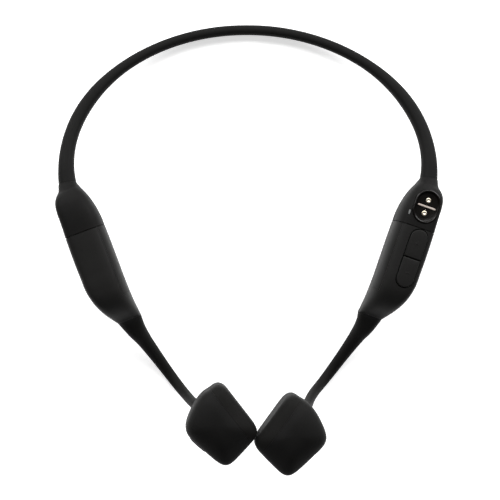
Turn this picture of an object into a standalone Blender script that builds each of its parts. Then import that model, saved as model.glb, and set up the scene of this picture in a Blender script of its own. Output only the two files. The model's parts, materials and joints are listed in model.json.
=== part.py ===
"""Bone conduction headphones, lying as they rest when set down flipped over.

+Z is up, +Y points to the back of the neckband and +X to the wearer's right.
All dimensions below are millimetres; the scene is built in metres.
"""
import math

import bmesh
import bpy
from mathutils import Matrix, Vector

MM = 0.001
NEIGHBOUR_GAP = 0.3
TANGENT_STEP = 0.5
RIGHT, LEFT = 1, -1
SIDE_NAMES = {RIGHT: "right", LEFT: "left"}
UP = Vector((0.0, 0.0, 1.0))

# Neckband: an elliptical arc, low at the back, climbing to the pods
BAND_CENTER_Y = 29.0
BAND_SEMI_X = 62.5
BAND_SEMI_Y = 48.2
BAND_END_ANGLE = 96.7
BAND_WIDTHS = ((0.0, 3.5), (40.0, 3.75), (62.0, 4.75), (80.0, 5.05), (90.0, 5.5), (97.0, 6.1))
BAND_HEIGHTS = ((0.0, 1.96), (30.0, 3.7), (60.0, 8.3), (80.0, 12.7), (90.0, 14.9), (97.0, 15.9))
BAND_TALLER = 1.1
FLEX_ANGLE = 18.66
FLEX_HALF_GAP = 0.6
BAND_POINTS = 16
CENTER_RINGS = 7
SIDE_RINGS = 13

# Channel through the silicone, with the spring wire below and the cable above it
CHANNEL_HALF_W = 0.72
CHANNEL_HALF_H = 1.15
CHANNEL_POINTS = 8
WIRE_RADIUS = 0.5
WIRE_DROP = 0.42
CABLE_RADIUS = 0.34
CABLE_RISE = 0.62
WIRE_BEVEL_RESOLUTION = 1

# Pods: a straight body on its own axes, l outward, s toward the neckband, z up
POD_ORIGIN = Vector((53.2, -1.5, 0.0))
POD_TURN = math.radians(-20.0)
POD_MID_Z = 17.0
POD_POINTS = 24
POD_WALL = 1.3
POD_ROUNDING = 7.0
CHAMFER = 0.83
CHAMFER_GONE = 1.15
SEAM_S = 9.0
SEAM_GAP = 0.3
# each row: s, outer edge, inner edge, underside z, top z
CAP_ROWS = (
    (SEAM_S + SEAM_GAP / 2, 6.85, -6.95, 8.5, 25.5),
    (12.0, 6.7, -6.9, 8.5, 25.5),
    (15.0, 6.6, -6.6, 8.7, 25.4),
    (18.0, 6.55, -6.0, 9.2, 25.1),
    (20.5, 6.25, -5.3, 10.0, 24.6),
    (22.3, 5.6, -4.6, 10.9, 23.8),
    (23.6, 4.7, -4.0, 11.7, 22.5),
    (24.8, 3.7, -3.6, 12.4, 20.8),
)
POD_ROWS = (
    (SEAM_S - SEAM_GAP / 2, 6.85, -6.95, 8.5, 25.5),
    (2.0, 7.0, -7.0, 8.5, 25.5),
    (-5.0, 6.95, -6.95, 8.4, 25.5),
    (-11.0, 6.75, -6.9, 8.0, 25.4),
    (-14.0, 6.15, -6.93, 7.65, 24.95),
    (-16.4, 5.4, -7.0, 7.27, 24.05),
    (-18.5, 4.5, -7.08, 6.93, 22.75),
    (-20.5, 3.45, -7.24, 6.6, 20.85),
    (-22.6, 2.15, -7.43, 6.33, 18.0),
    (-24.5, 0.9, -7.6, 6.2, 14.85),
)
CAVITY_ROWS = ((SEAM_S + 1.0, 6.85, -6.95, 8.5, 25.5),) + POD_ROWS[1:8]
CAP_CAVITY_END = 22.4
COVER_EDGE_L = -4.7
COVER_NOSE_S = -15.5
COVER_GAP = 0.15

# Frame that joins cap and pod across the seam
CHASSIS_S = (5.6, 11.0)
CHASSIS_HALF_W = 4.9
CHASSIS_HALF_H = 6.2
CHASSIS_WALL = 1.0

# The flexible hooks settle so the right transducer sits lower in y and the left one higher
SETTLE_SHIFT = 1.9
SETTLE_FRONT_Y = -38.0
SETTLE_Z = (5.0, 22.0)
# Brings the middle of the footprint to the origin
BASE_SHIFT = Vector((0.0, -2.5, -0.05))

# Ear hooks: spine points with the half width at each; the two sprung hooks don't rest quite alike
HOOK_SPINES = {
    RIGHT: (
        ((41.55, -23.95, 10.55), 4.25),
        ((40.0, -26.9, 8.7), 3.45),
        ((37.6, -30.6, 6.5), 2.75),
        ((34.85, -34.6, 4.5), 2.35),
        ((31.8, -38.9, 2.9), 2.08),
        ((28.4, -43.5, 1.95), 1.9),
        ((25.3, -47.1, 3.2), 1.78),
        ((22.5, -49.6, 7.2), 1.72),
        ((20.3, -50.9, 13.0), 1.7),
        ((18.9, -51.6, 19.0), 1.7),
        ((18.0, -52.2, 24.6), 1.7),
        ((17.4, -53.1, 29.4), 1.7),
    ),
    LEFT: (
        ((41.55, -23.95, 10.55), 4.25),
        ((39.5, -26.95, 8.7), 3.4),
        ((36.85, -30.8, 6.5), 2.7),
        ((34.05, -34.8, 4.5), 2.35),
        ((31.05, -39.1, 2.9), 2.1),
        ((27.85, -43.65, 1.98), 1.93),
        ((25.0, -47.4, 3.2), 1.84),
        ((22.6, -50.2, 7.2), 1.77),
        ((20.75, -52.7, 13.0), 1.75),
        ((19.4, -54.6, 19.0), 1.73),
        ((18.2, -55.8, 24.6), 1.73),
        ((17.3, -56.4, 29.4), 1.72),
    ),
}
HOOK_POINTS = 14
HOOK_WIRE_START = ((46.0, -17.2, 13.0), (43.6, -20.6, 12.0))
HOOK_WIRE_ENDS = {RIGHT: (17.7, -53.4, 31.0), LEFT: (16.7, -57.1, 31.0)}

# Transducers: u runs along the contact face toward the hook, d away from the head
TRANS_CENTER = Vector((12.75, -58.95, 36.0))
TRANS_U = Vector((0.602, 0.798, 0.0)).normalized()
TRANS_D = Vector((0.798, -0.602, 0.0)).normalized()
TRANS_PLANES = (
    ((0.0, -1.0), 9.8),
    ((0.995, -0.0995), 11.6),
    ((0.852, 0.5236), 9.8),
    ((-0.186, 0.9825), 9.6),
    ((-0.9896, -0.1453), 12.6),
)
TRANS_HALF_H = 11.5
TRANS_ROUNDING = 6.4
TRANS_DOME = 4.6
TRANS_WALL = 1.3
TRANS_SEAM = -5.2
TRANS_FACE = -9.55
FACE_RELIEF_U = -5.7
FACE_RELIEF_TILT = math.radians(9.0)
TRANS_SEGMENTS = 20
TRANS_RINGS = 12

# Exciter stack: depths along d from the transducer centre
CARRIER = (-8.05, -7.5, 6.6)
COIL = (-7.5, -3.8, 4.7, 5.6)
MAGNET = (-5.9, -2.75, 4.0)
YOKE = (-6.5, -2.65, -1.1, 6.3, 7.4)
SPRING = (-0.7, -0.3, 2.7, 8.4)
SPRING_HOLE = (1.4, 5.35)
SPRING_TURN = 0.21
LATHE_STEPS = 20

# Buttons and switches
PILL_L, PILL_S = 2.03, -1.7
PILL_HALF_W = 3.0
PILL_HALF_LENGTH = 10.2
PILL_SPLIT_GAP = 0.35
PILL_GAP = 0.25
BUTTON_Z = (23.9, 25.85)
SWITCH_SIZE = (3.2, 3.2, 1.2)
SWITCH_Z = 22.9
VOLUME_UP_S, VOLUME_DOWN_S = 3.3, -6.3
MULTI_HALF_W = 3.5
MULTI_HALF_LENGTH = 5.5
MULTI_DEPTH = (7.9, 9.95)
MULTI_SWITCH_DEPTH = 6.5
OUTER_FACE_NORMAL = (-0.186, 0.9825)

# Charging port on the right cap
PORT_L, PORT_S, PORT_TOP_Z = 1.1, 16.7, 25.35
PORT_TILT = math.radians(5.0)
PORT_HALF_W = 4.4
PORT_HALF_LENGTH = 5.8
PORT_RIM = 0.65
PORT_FLOOR = 1.0
PORT_THICKNESS = 2.7
PORT_GAP = 0.25
PIN_RADIUS = 0.9
PIN_PITCH = 4.6
PIN_GAP = 0.15
PIN_LENGTH = 3.4
PORT_MAGNET_RADIUS = 1.4
LED_L, LED_S = -3.85, 13.1
LED_RADIUS = 0.4

SHADE_ANGLE = math.radians(38.0)

# base colour, metallic, roughness
FINISHES = {
    "silicone": ((0.012, 0.012, 0.013), 0.0, 0.62),
    "soft_plastic": ((0.02, 0.02, 0.021), 0.0, 0.5),
    "cover_plastic": ((0.05, 0.05, 0.052), 0.0, 0.55),
    "gloss_black": ((0.008, 0.008, 0.009), 0.0, 0.12),
    "gold": ((0.83, 0.62, 0.3), 1.0, 0.25),
    "titanium": ((0.5, 0.49, 0.48), 1.0, 0.35),
    "copper": ((0.72, 0.36, 0.19), 1.0, 0.35),
    "steel": ((0.55, 0.56, 0.58), 1.0, 0.3),
    "nickel": ((0.66, 0.65, 0.62), 1.0, 0.22),
    "board_green": ((0.012, 0.11, 0.05), 0.0, 0.45),
    "foil": ((0.6, 0.61, 0.63), 0.85, 0.38),
    "cable": ((0.05, 0.05, 0.06), 0.0, 0.5),
    "lens": ((0.75, 0.76, 0.75), 0.0, 0.2),
    "ceramic": ((0.75, 0.7, 0.6), 0.0, 0.5),
    "nylon": ((0.09, 0.09, 0.095), 0.0, 0.45),
}


# ---------------------------------------------------------------- scene helpers

def new_collection(name):
    collection = bpy.data.collections.new(name)
    bpy.context.scene.collection.children.link(collection)
    return collection


def finish_material(name, finish):
    colour, metallic, roughness = FINISHES[finish]
    material = bpy.data.materials.new(name)
    material.use_nodes = True
    shader = material.node_tree.nodes["Principled BSDF"]
    shader.inputs["Base Color"].default_value = (*colour, 1.0)
    shader.inputs["Metallic"].default_value = metallic
    shader.inputs["Roughness"].default_value = roughness
    return material


def settled(point, side):
    """A right-side point moved to its own side, with the hooks' rest asymmetry and the base shift."""
    low, high = SETTLE_Z
    t = min(1.0, max(0.0, (point.z - low) / (high - low))) if point.y < SETTLE_FRONT_Y else 0.0
    shift = side * SETTLE_SHIFT * t * t * (3 - 2 * t)
    return Vector((point.x * side, point.y - shift, point.z)) + BASE_SHIFT


def place_mesh(name, bm, side, origin):
    """Turn a bmesh in right-side millimetres into an object on the given side."""
    for vertex in bm.verts:
        vertex.co = settled(vertex.co, side)
    bmesh.ops.recalc_face_normals(bm, faces=bm.faces)
    if bm.calc_volume(signed=True) < 0:
        bmesh.ops.reverse_faces(bm, faces=bm.faces)
    if origin is None:
        low = Vector(min(v.co[k] for v in bm.verts) for k in range(3))
        high = Vector(max(v.co[k] for v in bm.verts) for k in range(3))
        origin = (low + high) / 2
    else:
        origin = settled(origin, side)
    for vertex in bm.verts:
        vertex.co = (vertex.co - origin) * MM
    mesh = bpy.data.meshes.new(name)
    bm.to_mesh(mesh)
    bm.free()
    obj = bpy.data.objects.new(name, mesh)
    obj.location = origin * MM
    return obj


def solid(name, bm, finish, side=RIGHT, origin=None, bevel=0.0):
    obj = place_mesh(name, bm, side, origin)
    parts.objects.link(obj)
    obj.data.shade_smooth()
    obj.data.set_sharp_from_angle(angle=SHADE_ANGLE)
    obj.data.materials.append(finish_material(name + "_finish", finish))
    if bevel:
        modifier = obj.modifiers.new("edge", "BEVEL")
        modifier.width = bevel * MM
        modifier.segments = 2 if bevel > 1.0 else 1
        modifier.limit_method = "ANGLE"
    return obj


def cutter(name, bm, side=RIGHT):
    obj = place_mesh(name, bm, side, None)
    cutters.objects.link(obj)
    obj.hide_render = True
    obj.display_type = "WIRE"
    return obj


def combine(obj, tool, operation="DIFFERENCE"):
    modifier = obj.modifiers.new(tool.name, "BOOLEAN")
    modifier.operation = operation
    modifier.solver = "EXACT"
    modifier.object = tool


# ---------------------------------------------------------------- shape helpers

def smooth_value(x, table):
    """Value at x on a smooth curve through the table's (x, value) rows."""
    rows = list(table)
    index = max(k for k in range(len(rows) - 1) if k == 0 or rows[k][0] <= x)
    (x0, v0), (x1, v1) = rows[index], rows[index + 1]

    def slope(k):
        a, b = rows[max(k - 1, 0)], rows[min(k + 1, len(rows) - 1)]
        return (b[1] - a[1]) / (b[0] - a[0])

    span = x1 - x0
    t = (x - x0) / span
    blend = t * t * (3 - 2 * t)
    start = t * (1 - t) ** 2 * span * slope(index)
    end = -t * t * (1 - t) * span * slope(index + 1)
    return v0 + (v1 - v0) * blend + start + end


def outline(centre, across, up, half_w, half_h, rounding, count, chamfer=0.0):
    """A box outline rounded by a power norm, with its inner top corner cut when chamfer is set."""
    planes = [((1, 0), half_w), ((-1, 0), half_w), ((0, 1), half_h), ((0, -1), half_h)]
    if chamfer:
        planes.append(((-0.8, 0.6), chamfer * (0.8 * half_w + 0.6 * half_h)))
    points = []
    for k in range(count):
        angle = 2 * math.pi * (k + 0.5) / count
        x = half_w * math.cos(angle)
        z = half_h * math.sin(angle)
        total = sum(max(0.0, (n[0] * x + n[1] * z) / c) ** rounding for n, c in planes)
        reach = total ** (-1 / rounding)
        points.append(centre + across * x * reach + up * z * reach)
    return points


def loft(rings):
    """Closed skin through equal-count outlines, filled at both ends."""
    bm = bmesh.new()
    rows = [[bm.verts.new(point) for point in ring] for ring in rings]
    for row, following in zip(rows, rows[1:]):
        for k in range(len(row)):
            n = (k + 1) % len(row)
            bm.faces.new((row[k], row[n], following[n], following[k]))
    bm.faces.new(rows[0][::-1])
    bm.faces.new(rows[-1])
    return bm


def strand(name, points, radius, finish, side, origin=None):
    """Round wire or cable through a list of points, as a curve with a bevel and filled caps."""
    curve = bpy.data.curves.new(name, "CURVE")
    curve.dimensions = "3D"
    curve.bevel_depth = radius * MM
    curve.bevel_resolution = WIRE_BEVEL_RESOLUTION
    curve.use_fill_caps = True
    placed = [settled(point, side) for point in points]
    origin = placed[0] if origin is None else settled(origin, side)
    spline = curve.splines.new("POLY")
    spline.points.add(len(placed) - 1)
    for control, point in zip(spline.points, placed):
        control.co = (*((point - origin) * MM), 1.0)
    spline.use_smooth = True
    obj = bpy.data.objects.new(name, curve)
    obj.location = origin * MM
    parts.objects.link(obj)
    curve.materials.append(finish_material(name + "_finish", finish))
    return obj


def bore(name, path, side):
    """Cutter for the wire and cable channel along a path."""
    outlines = []
    for k, point in enumerate(path):
        across, up = cross_axes(spine_tangent(path, k))
        outlines.append(
            outline(point, across, up, CHANNEL_HALF_W, CHANNEL_HALF_H, 3.0, CHANNEL_POINTS)
        )
    return cutter(name, loft(outlines), side)


def spine_tangent(spine, k):
    return (spine[min(k + 1, len(spine) - 1)] - spine[max(k - 1, 0)]).normalized()


def cross_axes(tangent):
    """Horizontal and upward directions square to a tangent."""
    across = UP.cross(tangent).normalized()
    return across, tangent.cross(across).normalized()


def aligned(centre, across, along, up):
    """Matrix that takes local x, y, z to the given directions at a point."""
    matrix = Matrix((across, along, up)).transposed().to_4x4()
    matrix.translation = centre
    return matrix


def box(size, matrix):
    bm = bmesh.new()
    bmesh.ops.create_cube(bm, size=1.0, matrix=matrix @ Matrix.Diagonal((*size, 1.0)))
    return bm


def cylinder(radius, low, high, matrix, count=LATHE_STEPS):
    """Cylinder on the matrix's z axis between two heights."""
    bm = bmesh.new()
    shift = Matrix.Translation((0.0, 0.0, (low + high) / 2))
    bmesh.ops.create_cone(
        bm, cap_ends=True, segments=count, radius1=radius, radius2=radius,
        depth=high - low, matrix=matrix @ shift,
    )
    return bm


def pill_outline(half_w, half_length, z, start=None, end=None, arc=6):
    """Stadium outline in the xy plane, long in y; start or end cuts it square in y."""
    straight = half_length - half_w
    points = []
    if end is None:
        for k in range(arc + 1):
            angle = math.pi * k / arc
            points.append((half_w * math.cos(angle), straight + half_w * math.sin(angle), z))
    else:
        points += [(half_w, end, z), (-half_w, end, z)]
    if start is None:
        for k in range(arc + 1):
            angle = math.pi + math.pi * k / arc
            points.append((half_w * math.cos(angle), half_w * math.sin(angle) - straight, z))
    else:
        points += [(-half_w, start, z), (half_w, start, z)]
    return [Vector(point) for point in points]


def prism(outlines, matrix):
    return loft([[matrix @ point for point in ring] for ring in outlines])


def lathe(name, profile, finish, side, centre, axis, steps=LATHE_STEPS):
    """Revolve a closed (radius, height) profile about an axis with the Screw tool."""
    mesh = bpy.data.meshes.new(name)
    vertices = [(radius * MM, 0.0, height * MM) for radius, height in profile]
    edges = [(k, (k + 1) % len(profile)) for k in range(len(profile))]
    on_axis = profile[0][0] == 0 and profile[-1][0] == 0
    mesh.from_pydata(vertices, edges[:-1] if on_axis else edges, [])
    obj = bpy.data.objects.new(name, mesh)
    parts.objects.link(obj)
    obj.location = settled(centre, side) * MM
    direction = Vector((axis.x * side, axis.y, axis.z))
    obj.rotation_euler = direction.to_track_quat("Z", "X").to_euler()
    modifier = obj.modifiers.new("turned", "SCREW")
    modifier.steps = steps
    modifier.render_steps = steps
    modifier.use_merge_vertices = True
    modifier.merge_threshold = 0.00001
    mesh.materials.append(finish_material(name + "_finish", finish))
    return obj


# ---------------------------------------------------------------- shared paths

def band_point(angle):
    turn = math.radians(angle)
    height = smooth_value(abs(angle), BAND_HEIGHTS)
    return Vector((
        BAND_SEMI_X * math.sin(turn),
        BAND_CENTER_Y + BAND_SEMI_Y * math.cos(turn),
        height,
    ))


def band_tangent(angle):
    return (band_point(angle + TANGENT_STEP) - band_point(angle - TANGENT_STEP)).normalized()


def band_ring(angle, half_w, half_h, rounding, count):
    """Outline square to the neckband at an angle round the ellipse."""
    across, up = cross_axes(band_tangent(angle))
    return outline(band_point(angle), across, up, half_w, half_h, rounding, count)


def band_body(start, end, rings):
    outlines = []
    for k in range(rings):
        angle = start + (end - start) * k / (rings - 1)
        half_w = smooth_value(abs(angle), BAND_WIDTHS) / 2
        outlines.append(band_ring(angle, half_w, half_w * BAND_TALLER, 2.3, BAND_POINTS))
    return loft(outlines)


def band_path(start, end, rings, drop=0.0):
    """Points along the neckband's centre line, lowered or raised in its own section."""
    points = []
    for k in range(rings):
        angle = start + (end - start) * k / (rings - 1)
        _, up = cross_axes(band_tangent(angle))
        points.append(band_point(angle) + up * drop)
    return points


def pod_matrix():
    turn = Matrix.Rotation(POD_TURN, 4, "Z")
    return Matrix.Translation(POD_ORIGIN) @ turn


POD = pod_matrix()
POD_ACROSS = (POD.to_3x3() @ Vector((1.0, 0.0, 0.0))).normalized()
POD_ALONG = (POD.to_3x3() @ Vector((0.0, 1.0, 0.0))).normalized()


def pod_point(l, s, z):
    return POD @ Vector((l, s, z))


def pod_ring(row, inset=0.0, rounding=POD_ROUNDING, chamfer=CHAMFER):
    s, outer, inner, low, high = row
    centre = pod_point((outer + inner) / 2, s, (low + high) / 2)
    half_w = (outer - inner) / 2 - inset
    half_h = (high - low) / 2 - inset
    return outline(centre, POD_ACROSS, UP, half_w, half_h, rounding, POD_POINTS, chamfer)


def cap_rings(inset, end_s):
    """Cap outlines from the seam back to the neckband; the last ones turn to the band's own section."""
    rings = []
    for row in CAP_ROWS:
        if row[0] > end_s:
            continue
        fade = min(1.0, max(0.0, (row[0] - 18.0) / 8.0))
        rounding = POD_ROUNDING + (2.6 - POD_ROUNDING) * fade
        chamfer = CHAMFER + (CHAMFER_GONE - CHAMFER) * fade
        rings.append(pod_ring(row, inset, rounding, chamfer))
    return rings


def trans_point(u, d, z):
    return TRANS_CENTER + TRANS_U * u + TRANS_D * d + UP * z


def transducer_body(grow):
    """Pillow-shaped transducer block, its faces moved out by grow."""
    bm = bmesh.new()
    bmesh.ops.create_uvsphere(bm, u_segments=TRANS_SEGMENTS, v_segments=TRANS_RINGS, radius=10.0)
    planes = [(Vector((n[0], n[1], 0.0)), c + grow) for n, c in TRANS_PLANES]
    for vertex in bm.verts:
        direction = vertex.co.copy()
        total = sum(max(0.0, n.dot(direction) / c) ** TRANS_ROUNDING for n, c in planes)
        flat = total ** (1 / TRANS_ROUNDING)
        height = abs(direction.z) / (TRANS_HALF_H + grow)
        local = direction * (flat ** TRANS_DOME + height ** TRANS_DOME) ** (-1 / TRANS_DOME)
        vertex.co = trans_point(local.x, local.y, local.z)
    return bm


def trans_box(d_low, d_high, half_u=14.0, half_z=13.0):
    """Block across the transducer, short enough to shift with it as one."""
    matrix = aligned(trans_point(0.0, (d_low + d_high) / 2, 0.0), TRANS_U, TRANS_D, UP)
    return box((2 * half_u, d_high - d_low, 2 * half_z), matrix)


def face_relief():
    """Block that eases the front end of the contact face, where the two faces nearly meet."""
    corner = aligned(trans_point(FACE_RELIEF_U, TRANS_FACE, 0.0), TRANS_U, TRANS_D, UP)
    tilt = Matrix.Rotation(-FACE_RELIEF_TILT, 4, "Z")
    return box((6.0, 3.0, 26.0), corner @ tilt @ Matrix.Translation((-3.0, -1.5, 0.0)))


def outer_face_matrix(height):
    """Frame on the transducer's outer face: z outward, y up."""
    normal = TRANS_U * OUTER_FACE_NORMAL[0] + TRANS_D * OUTER_FACE_NORMAL[1]
    return aligned(TRANS_CENTER + UP * height, UP.cross(normal), UP, normal)


def port_matrix():
    tilt = Matrix.Rotation(-PORT_TILT, 4, "X")
    return POD @ Matrix.Translation((PORT_L, PORT_S, PORT_TOP_Z)) @ tilt


def band_wire_tail(drop):
    """Points that carry a strand from the neckband's end into the cap."""
    return [pod_point(-0.1, s, 16.1 + drop) for s in (23.0, 20.0, 17.0)]


def hook_spine_points(drop, side):
    points = [Vector(p) for p in HOOK_WIRE_START]
    points += [Vector(p) for p, _ in HOOK_SPINES[side]]
    points.append(Vector(HOOK_WIRE_ENDS[side]))
    shifted = []
    for k, point in enumerate(points):
        _, up = cross_axes(spine_tangent(points, k))
        shifted.append(point + up * drop)
    return shifted


# ---------------------------------------------------------------- neckband

def build_band_strands(name, start, end, rings, side, tail, origin):
    """Spring wire and cable through one length of neckband."""
    strands = (
        ("wire", WIRE_RADIUS, -WIRE_DROP, "titanium"),
        ("cable", CABLE_RADIUS, CABLE_RISE, "cable"),
    )
    for kind, radius, drop, finish in strands:
        points = band_path(start, end, rings, drop)
        if tail:
            points += band_wire_tail(drop)
        strand(f"neckband_{kind}_{name}", points, radius, finish, side, origin)


def build_neckband():
    degree_length = (band_point(FLEX_ANGLE + 1) - band_point(FLEX_ANGLE)).length
    gap_angle = FLEX_HALF_GAP / degree_length
    end = FLEX_ANGLE - gap_angle
    sleeve = solid("neckband_sleeve_center", band_body(-end, end, CENTER_RINGS), "silicone")
    combine(sleeve, bore("cut_channel_center", band_path(-end - 1, end + 1, CENTER_RINGS), RIGHT))
    build_band_strands("center", -end, end, CENTER_RINGS, RIGHT, False, None)
    start = FLEX_ANGLE + gap_angle
    for side in (RIGHT, LEFT):
        name = SIDE_NAMES[side]
        pivot = band_point(FLEX_ANGLE)
        body = band_body(start, BAND_END_ANGLE, SIDE_RINGS)
        sleeve = solid(f"neckband_sleeve_{name}", body, "silicone", side, pivot)
        path = band_path(start - 1, BAND_END_ANGLE + 1, SIDE_RINGS)
        combine(sleeve, bore(f"cut_channel_{name}", path, side))
        build_band_strands(name, start, BAND_END_ANGLE, SIDE_RINGS, side, True, pivot)


# ---------------------------------------------------------------- pods

def build_cap(side):
    name = SIDE_NAMES[side]
    rings = cap_rings(0.0, 30.0)
    end_half = smooth_value(BAND_END_ANGLE, BAND_WIDTHS) / 2 + 0.15
    neck_angle = BAND_END_ANGLE + 0.35
    rings.append(band_ring(neck_angle, end_half, end_half * BAND_TALLER, 2.3, POD_POINTS))
    cap = solid(f"{name}_band_cap", loft(rings), "silicone", side)
    hollow = [pod_ring((SEAM_S - 1.0, *CAP_ROWS[0][1:]), POD_WALL)]
    hollow += cap_rings(POD_WALL, CAP_CAVITY_END)
    combine(cap, cutter(f"cut_{name}_cap_hollow", loft(hollow), side))
    path = [pod_point(-0.1, s, 16.15) for s in (15.5, 20.0, 23.0)]
    path += [band_point(BAND_END_ANGLE), band_point(BAND_END_ANGLE - 2.0)]
    combine(cap, bore(f"cut_{name}_cap_channel", path, side))
    return cap


def build_pod(side):
    name = SIDE_NAMES[side]
    rings = [pod_ring(row) for row in POD_ROWS[:-3]]
    fades = (0.3, 0.6, 0.8)
    for row, fade in zip(POD_ROWS[-3:], fades):
        rounding = POD_ROUNDING + (2.5 - POD_ROUNDING) * fade
        chamfer = CHAMFER + (CHAMFER_GONE - CHAMFER) * fade
        rings.append(pod_ring(row, 0.0, rounding, chamfer))
    hollow = cutter(f"cut_{name}_pod_hollow", loft([pod_ring(r, POD_WALL) for r in CAVITY_ROWS]), side)
    panel_size = (10.0, SEAM_S + 1.0 - COVER_NOSE_S, 40.0)
    panel_mid = (COVER_EDGE_L - 5.0, (SEAM_S + 1.0 + COVER_NOSE_S) / 2, POD_MID_Z)
    panel = aligned(pod_point(*panel_mid), POD_ACROSS, POD_ALONG, UP)
    grown = [size + 2 * COVER_GAP for size in panel_size]
    shrunk = [size - 2 * COVER_GAP for size in panel_size]
    shell = solid(f"{name}_pod_shell", loft(rings), "soft_plastic", side)
    combine(shell, hollow)
    combine(shell, cutter(f"cut_{name}_pod_window", box(grown, panel), side))
    combine(shell, bore(f"cut_{name}_nose_channel", hook_spine_points(0.0, side)[:4], side))
    cover = solid(f"{name}_pod_inner_cover", loft(rings), "cover_plastic", side)
    combine(cover, hollow)
    combine(cover, cutter(f"cut_{name}_cover_keep", box(shrunk, panel), side), "INTERSECT")
    build_chassis(name, side)
    return shell


def build_chassis(name, side):
    """Frame that bridges the seam between the cap and the pod shell."""
    def frame(start, end, inset):
        rings = []
        for s in (start, end):
            row = (s, CHASSIS_HALF_W, -CHASSIS_HALF_W, POD_MID_Z - CHASSIS_HALF_H, POD_MID_Z + CHASSIS_HALF_H)
            rings.append(pod_ring(row, inset))
        return loft(rings)

    chassis = solid(f"{name}_pod_chassis", frame(*CHASSIS_S, 0.0), "nylon", side)
    hole = frame(CHASSIS_S[0] - 1, CHASSIS_S[1] + 1, CHASSIS_WALL)
    combine(chassis, cutter(f"cut_{name}_chassis", hole, side))


# ---------------------------------------------------------------- ear hooks

def build_hook(side):
    name = SIDE_NAMES[side]
    points = [Vector(p) for p, _ in HOOK_SPINES[side]]
    rings = []
    for k, (point, half) in enumerate(HOOK_SPINES[side]):
        across, up = cross_axes(spine_tangent(points, k))
        rounding = 4.2 if k == 0 else 2.6 if k == 1 else 2.1
        if k == 0:
            across, up = cross_axes(-POD_ALONG)
        rings.append(outline(Vector(point), across, up, half, half, rounding, HOOK_POINTS))
    sleeve = solid(f"{name}_hook_sleeve", loft(rings), "silicone", side)
    channel = bore(f"cut_{name}_hook_channel", hook_spine_points(0.0, side)[1:], side)
    combine(sleeve, channel)
    combine(sleeve, cutter(f"cut_{name}_hook_end", transducer_body(NEIGHBOUR_GAP), side))
    strand(f"{name}_hook_wire", hook_spine_points(-WIRE_DROP, side), WIRE_RADIUS, "titanium", side)
    strand(f"{name}_hook_cable", hook_spine_points(CABLE_RISE, side), CABLE_RADIUS, "cable", side)
    return channel


# ---------------------------------------------------------------- transducers

def build_transducer(side, bore):
    name = SIDE_NAMES[side]
    hollow = cutter(f"cut_{name}_trans_hollow", transducer_body(-TRANS_WALL), side)
    housing = solid(f"{name}_transducer_housing", transducer_body(0.0), "silicone", side)
    combine(housing, hollow)
    combine(housing, cutter(f"cut_{name}_trans_front", trans_box(-14.0, TRANS_SEAM + 0.15), side))
    combine(housing, bore)
    shell = solid(f"{name}_contact_shell", transducer_body(0.0), "silicone", side)
    combine(shell, cutter(f"cut_{name}_trans_face", trans_box(-14.0, TRANS_FACE), side))
    combine(shell, cutter(f"cut_{name}_trans_relief", face_relief(), side))
    combine(shell, cutter(f"cut_{name}_trans_back", trans_box(TRANS_SEAM - 0.15, 20.0), side))
    combine(shell, hollow)
    build_exciter(name, side)
    return housing


def build_exciter(name, side):
    """Moving-magnet exciter behind the contact face."""
    low, top, radius = CARRIER
    coil_low, coil_high, coil_in, coil_out = COIL
    profile = [
        (0.0, top), (coil_in, top), (coil_in, coil_high), (coil_out, coil_high),
        (coil_out, top), (radius, top), (radius, low), (0.0, low),
    ]
    lathe(f"{name}_voice_coil", profile, "copper", side, TRANS_CENTER, TRANS_D)
    low, high, radius = MAGNET
    lathe(
        f"{name}_exciter_magnet", [(0.0, high), (radius, high), (radius, low), (0.0, low)],
        "nickel", side, TRANS_CENTER, TRANS_D,
    )
    lip, floor, back, inner, outer = YOKE
    profile = [(0.0, back), (outer, back), (outer, lip), (inner, lip), (inner, floor), (0.0, floor)]
    lathe(f"{name}_exciter_yoke", profile, "steel", side, TRANS_CENTER, TRANS_D)
    low, high, inner, outer = SPRING
    profile = [(inner, high), (outer, high), (outer, low), (inner, low)]
    spring = lathe(f"{name}_suspension_spring", profile, "steel", side, TRANS_CENTER, TRANS_D)
    hole_radius, hole_reach = SPRING_HOLE
    for k in range(3):
        turn = 2 * math.pi * k / 3 + SPRING_TURN
        centre = trans_point(hole_reach * math.cos(turn), low, hole_reach * math.sin(turn))
        matrix = aligned(centre, UP.cross(TRANS_D), UP, TRANS_D)
        hole = cylinder(hole_radius, -1.0, 1.0, matrix, 12)
        combine(spring, cutter(f"cut_{name}_spring_{k}", hole, side))


# ---------------------------------------------------------------- left side fittings

def build_left_fittings(housing):
    cell = box((8.0, 18.4, 10.0), aligned(pod_point(-0.3, -4.6, 17.0), POD_ACROSS, POD_ALONG, UP))
    solid("battery_cell", cell, "foil", LEFT, bevel=1.4)
    board = box((6.0, 7.5, 0.8), aligned(pod_point(0.0, 9.7, 17.0), POD_ACROSS, POD_ALONG, UP))
    solid("battery_protection_board", board, "board_green", LEFT, bevel=0.15)
    face = outer_face_matrix(0.0)
    low, high = MULTI_DEPTH
    edge = 0.35
    outlines = [
        pill_outline(MULTI_HALF_W, MULTI_HALF_LENGTH, low),
        pill_outline(MULTI_HALF_W, MULTI_HALF_LENGTH, high - edge),
        pill_outline(MULTI_HALF_W - edge, MULTI_HALF_LENGTH - edge, high),
    ]
    origin = TRANS_CENTER + face.to_3x3() @ Vector((0.0, 0.0, low))
    solid("multifunction_button", prism(outlines, face), "soft_plastic", LEFT, origin)
    hole = [
        pill_outline(MULTI_HALF_W + PILL_GAP, MULTI_HALF_LENGTH + PILL_GAP, z) for z in (4.0, 12.0)
    ]
    combine(housing, cutter("cut_multifunction", prism(hole, face), LEFT))
    switch = box((4.0, 4.0, 1.4), face @ Matrix.Translation((0.0, 0.0, MULTI_SWITCH_DEPTH)))
    solid("multifunction_switch", switch, "steel", LEFT, bevel=0.2)


# ---------------------------------------------------------------- right side fittings

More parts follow.
